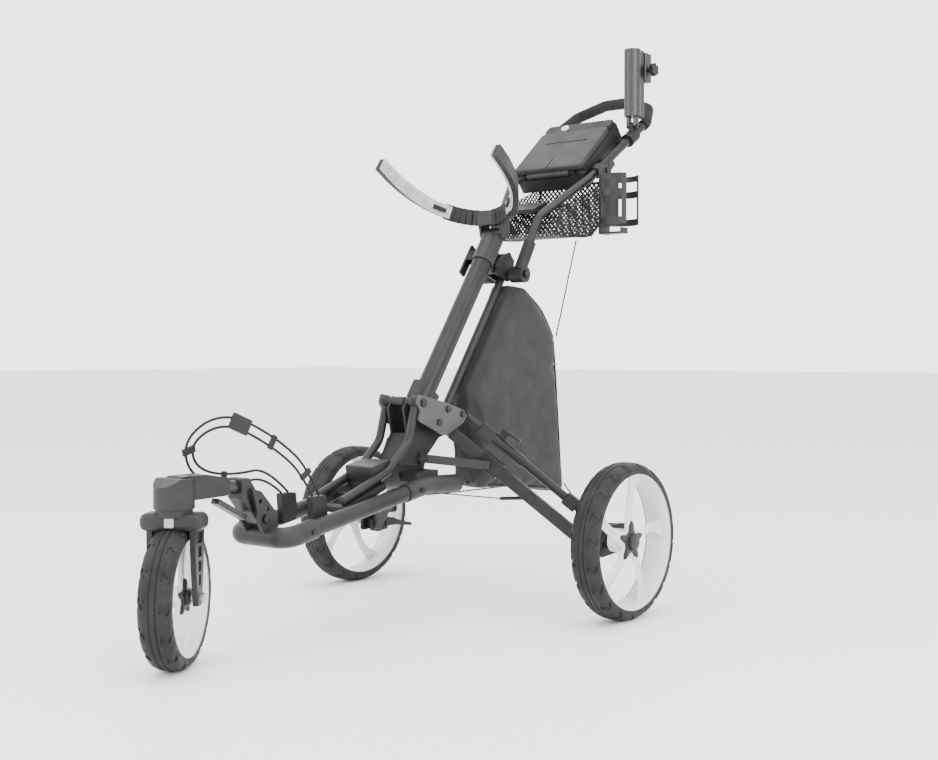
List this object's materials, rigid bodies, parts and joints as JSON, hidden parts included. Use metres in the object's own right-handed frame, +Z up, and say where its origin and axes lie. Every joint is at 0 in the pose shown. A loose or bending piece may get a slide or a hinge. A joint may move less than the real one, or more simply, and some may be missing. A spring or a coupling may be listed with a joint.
{
  "type": "golf push cart",
  "caption": "Folding golf push cart with swivelling front wheel, spoked wheels, bag cradle, console, umbrella socket, bottle cage and storage bag.",
  "frame": {"origin": "on the ground, at the middle of the footprint (bounding-box bottom centre)", "axes": "+Z up; the cart rolls forward along -Y; +X is the cart's left side"},
  "size_m": [0.742, 1.3976, 1.158],
  "materials": {
    "tyre": "matte treaded rubber",
    "rim": "silver-white moulded plastic",
    "frame_paint": "satin charcoal paint",
    "grey_paint": "satin mid-grey paint",
    "black_plastic": "fine-textured black plastic",
    "dark_plastic": "satin charcoal plastic",
    "steel": "zinc-plated steel",
    "aluminium": "anodised dark grey aluminium",
    "grip_foam": "soft-touch rubber",
    "pad": "pale ribbed rubber",
    "mesh": "knitted net",
    "bag_cloth": "woven polyester",
    "cord": "braided elastic cord",
    "button_white": "glossy light plastic"
  },
  "bodies": {
    "chassis": {"frame_rails": "frame_paint", "front_crosspiece": "dark_plastic", "rail_sockets": "dark_plastic", "arch_tubes": "frame_paint", "arch_crossbar": "black_plastic", "arch_saddle": "black_plastic", "side_plates": "grey_paint", "frame_bracket": "black_plastic", "frame_fasteners": "steel", "strap_fittings": "black_plastic", "strap_cords": "cord", "brake_cable": "cord"},
    "post": {"main_post": "frame_paint", "post_collar": "dark_plastic"},
    "rear_link": {"rear_tube": "frame_paint", "storage_bag": "bag_cloth", "bag_cords": "cord"},
    "head": {"head_bracket": "black_plastic", "head_pins": "steel"},
    "handle": {"handle_tube": "frame_paint", "handle_grip": "grip_foam", "handle_sockets": "black_plastic", "console_body": "black_plastic", "cross_tray": "black_plastic", "mesh_basket": "mesh", "accessory_clamps": "black_plastic"},
    "cradle": {"cradle_block": "black_plastic", "cradle_arms": "dark_plastic", "cradle_pads": "pad"},
    "post_lever": {"post_lever": "black_plastic"},
    "neck": {"steering_head": "dark_plastic", "neck_links": "aluminium", "neck_knee": "dark_plastic"},
    "fork": {"front_fork": "dark_plastic", "front_axle": "steel"},
    "front_wheel": {"front_tyre": "tyre", "front_rim": "rim"},
    "lid": {"console_lid": "dark_plastic"},
    "lid_button": {"lid_button": "button_white"},
    "umbrella_holder": {"umbrella_holder": "aluminium"},
    "umbrella_knob": {"umbrella_knob": "black_plastic"},
    "bottle_cage": {"bottle_cage": "dark_plastic"},
    "leg_lower_left": {"leg_bar_left": "frame_paint"},
    "leg_upper_left": {"leg_tube_left": "aluminium"},
    "paddle_left": {"leg_paddle_left": "black_plastic"},
    "sleeve_left": {"leg_sleeve_left": "black_plastic"},
    "strut_left": {"leg_strut_left": "grey_paint"},
    "bracket_left": {"wheel_bracket_left": "black_plastic"},
    "rear_wheel_left": {"rear_tyre_left": "tyre", "rear_rim_left": "rim"},
    "leg_lower_right": {"leg_bar_right": "frame_paint"},
    "leg_upper_right": {"leg_tube_right": "aluminium"},
    "paddle_right": {"leg_paddle_right": "black_plastic"},
    "sleeve_right": {"leg_sleeve_right": "black_plastic"},
    "strut_right": {"leg_strut_right": "grey_paint"},
    "bracket_right": {"wheel_bracket_right": "black_plastic", "brake_housing": "black_plastic"},
    "rear_wheel_right": {"rear_tyre_right": "tyre", "rear_rim_right": "rim"},
    "brake_pedal": {"brake_pedal": "black_plastic"}
  },
  "joints": [
    {"name": "post_fold", "type": "hinge", "parent": "chassis", "child": "post", "pos_m": [0, 0.0105, 0.388], "axis": [1, 0, 0], "range_deg": [0, 12], "deforming": ["bag_cords", "brake_cable"]},
    {"name": "rear_link_fold", "type": "hinge", "parent": "chassis", "child": "rear_link", "pos_m": [0, 0.0545, 0.377], "axis": [1, 0, 0], "range_deg": [0, 12]},
    {"name": "head_fold", "type": "hinge", "parent": "post", "child": "head", "pos_m": [0, 0.20374, 0.66604], "axis": [1, 0, 0], "range_deg": [-12, 0]},
    {"name": "handle_fold", "type": "hinge", "parent": "head", "child": "handle", "pos_m": [0, 0.24774, 0.65504], "axis": [1, 0, 0], "range_deg": [-55, 10]},
    {"name": "cradle_tilt", "type": "hinge", "parent": "post", "child": "cradle", "pos_m": [0, 0.22038, 0.73729], "axis": [1, 0, 0], "range_deg": [-12, 12]},
    {"name": "post_lever_turn", "type": "hinge", "parent": "post", "child": "post_lever", "pos_m": [-0.0315, 0.18956, 0.69295], "axis": [0, 0.8211, -0.5707], "range_deg": [0, 40]},
    {"name": "neck_fold", "type": "hinge", "parent": "chassis", "child": "neck", "pos_m": [0, -0.4335, 0.222], "axis": [1, 0, 0], "range_deg": [0, 75]},
    {"name": "fork_swivel", "type": "hinge", "parent": "neck", "child": "fork", "pos_m": [0, -0.6015, 0.253], "axis": [0, 0, 1], "continuous": true},
    {"name": "front_wheel_spin", "type": "hinge", "parent": "fork", "child": "front_wheel", "pos_m": [-0.00325, -0.59646, 0.113], "axis": [0.8406, 0.5417, 0], "continuous": true},
    {"name": "lid_open", "type": "hinge", "parent": "handle", "child": "lid", "pos_m": [0, 0.41002, 0.87814], "axis": [1, 0, 0], "range_deg": [0, 75]},
    {"name": "lid_button_press", "type": "slide", "parent": "handle", "child": "lid_button", "axis": [0, 0.6481, -0.7615], "range_m": [0, 0.003]},
    {"name": "umbrella_tilt", "type": "hinge", "parent": "handle", "child": "umbrella_holder", "pos_m": [0.116, 0.5645, 0.992], "axis": [1, 0, 0], "range_deg": [-5, 20]},
    {"name": "umbrella_knob_turn", "type": "hinge", "parent": "umbrella_holder", "child": "umbrella_knob", "pos_m": [0.132, 0.6075, 1.118], "axis": [1, 0, 0], "continuous": true},
    {"name": "cage_swing", "type": "hinge", "parent": "handle", "child": "bottle_cage", "pos_m": [0.121, 0.4425, 0.88], "axis": [1, 0, 0], "range_deg": [-35, 35]},
    {"name": "leg_fold_left", "type": "hinge", "parent": "chassis", "child": "leg_lower_left", "pos_m": [0.03, 0.0375, 0.3459], "axis": [-0.4516, 0.8922, 0], "range_deg": [0, 12]},
    {"name": "leg_link_left", "type": "hinge", "parent": "chassis", "child": "leg_upper_left", "pos_m": [0.03, 0.0795, 0.3779], "axis": [-0.4516, 0.8922, 0], "range_deg": [0, 12]},
    {"name": "wheel_bracket_left", "type": "hinge", "parent": "leg_lower_left", "child": "bracket_left", "pos_m": [0.275, 0.1615, 0.127], "axis": [-0.4516, 0.8922, 0], "range_deg": [-12, 0]},
    {"name": "sleeve_slide_left", "type": "slide", "parent": "leg_lower_left", "child": "sleeve_left", "axis": [0.6977, 0.3531, -0.6234], "range_m": [0, 0.01349]},
    {"name": "strut_fold_left", "type": "hinge", "parent": "chassis", "child": "strut_left", "pos_m": [0.033, -0.0435, 0.297], "axis": [-0.4516, 0.8922, 0], "range_deg": [0, 13.21]},
    {"name": "leg_paddle_left", "type": "hinge", "parent": "leg_upper_left", "child": "paddle_left", "pos_m": [0.10085, 0.11535, 0.33634], "axis": [-0.4516, 0.8922, 0], "range_deg": [-25, 0]},
    {"name": "rear_wheel_spin_left", "type": "hinge", "parent": "bracket_left", "child": "rear_wheel_left", "pos_m": [0.343, 0.1665, 0.146], "axis": [1, 0, 0], "continuous": true},
    {"name": "leg_fold_right", "type": "hinge", "parent": "chassis", "child": "leg_lower_right", "pos_m": [-0.03, 0.0375, 0.3459], "axis": [-0.4516, -0.8922, 0], "range_deg": [0, 12]},
    {"name": "leg_link_right", "type": "hinge", "parent": "chassis", "child": "leg_upper_right", "pos_m": [-0.03, 0.0795, 0.3779], "axis": [-0.4516, -0.8922, 0], "range_deg": [0, 12]},
    {"name": "wheel_bracket_right", "type": "hinge", "parent": "leg_lower_right", "child": "bracket_right", "pos_m": [-0.275, 0.1615, 0.127], "axis": [-0.4516, -0.8922, 0], "range_deg": [-12, 0]},
    {"name": "sleeve_slide_right", "type": "slide", "parent": "leg_lower_right", "child": "sleeve_right", "axis": [-0.6977, 0.3531, -0.6234], "range_m": [0, 0.01349]},
    {"name": "strut_fold_right", "type": "hinge", "parent": "chassis", "child": "strut_right", "pos_m": [-0.033, -0.0435, 0.297], "axis": [-0.4516, -0.8922, 0], "range_deg": [0, 13.21]},
    {"name": "leg_paddle_right", "type": "hinge", "parent": "leg_upper_right", "child": "paddle_right", "pos_m": [-0.10085, 0.11535, 0.33634], "axis": [-0.4516, -0.8922, 0], "range_deg": [-25, 0]},
    {"name": "rear_wheel_spin_right", "type": "hinge", "parent": "bracket_right", "child": "rear_wheel_right", "pos_m": [-0.343, 0.1665, 0.146], "axis": [1, 0, 0], "continuous": true},
    {"name": "brake_press", "type": "hinge", "parent": "bracket_right", "child": "brake_pedal", "pos_m": [-0.299, 0.2245, 0.126], "axis": [1, 0, 0], "range_deg": [-18, 0]}
  ],
  "couplings": [
    {"joint": "rear_link_fold", "follows": "post_fold", "ratio": 1},
    {"joint": "head_fold", "follows": "post_fold", "ratio": -1},
    {"joint": "leg_fold_left", "follows": "post_fold", "ratio": 1},
    {"joint": "leg_link_left", "follows": "post_fold", "ratio": 1},
    {"joint": "wheel_bracket_left", "follows": "post_fold", "ratio": -1},
    {"joint": "sleeve_slide_left", "follows": "post_fold", "m_per_rad": 0.064395},
    {"joint": "strut_fold_left", "follows": "post_fold", "ratio": 1.1007},
    {"joint": "leg_fold_right", "follows": "post_fold", "ratio": 1},
    {"joint": "leg_link_right", "follows": "post_fold", "ratio": 1},
    {"joint": "wheel_bracket_right", "follows": "post_fold", "ratio": -1},
    {"joint": "sleeve_slide_right", "follows": "post_fold", "m_per_rad": 0.064395},
    {"joint": "strut_fold_right", "follows": "post_fold", "ratio": 1.1007}
  ]
}
